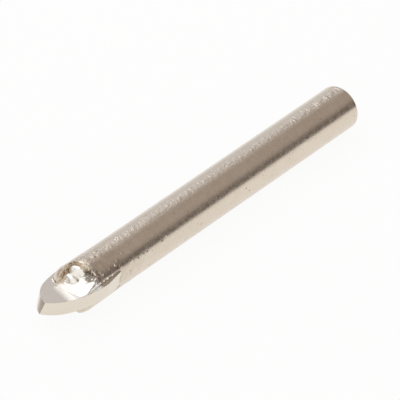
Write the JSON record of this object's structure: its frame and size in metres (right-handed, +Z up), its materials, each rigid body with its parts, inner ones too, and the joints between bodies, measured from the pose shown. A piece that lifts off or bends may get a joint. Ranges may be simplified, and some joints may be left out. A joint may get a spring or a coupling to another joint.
{
  "type": "glass and tile drill bit",
  "caption": "Spear-point drill bit for glass and tile: an ogive carbide plate brazed into the slotted front of a straight round nickel-plated shank.",
  "frame": {"origin": "middle of the bit's box, on the surface it lies on", "axes": "+X along the shank away from the point, +Z up, the carbide plate level"},
  "size_m": [0.06, 0.0072, 0.0062],
  "materials": {
    "nickel_plated_steel": "satin nickel plating",
    "ground_carbide": "ground",
    "braze_alloy": "smooth as frozen"
  },
  "bodies": {
    "root": {"shank": "nickel_plated_steel", "carbide_tip": "ground_carbide", "braze": "braze_alloy"}
  },
  "joints": []
}
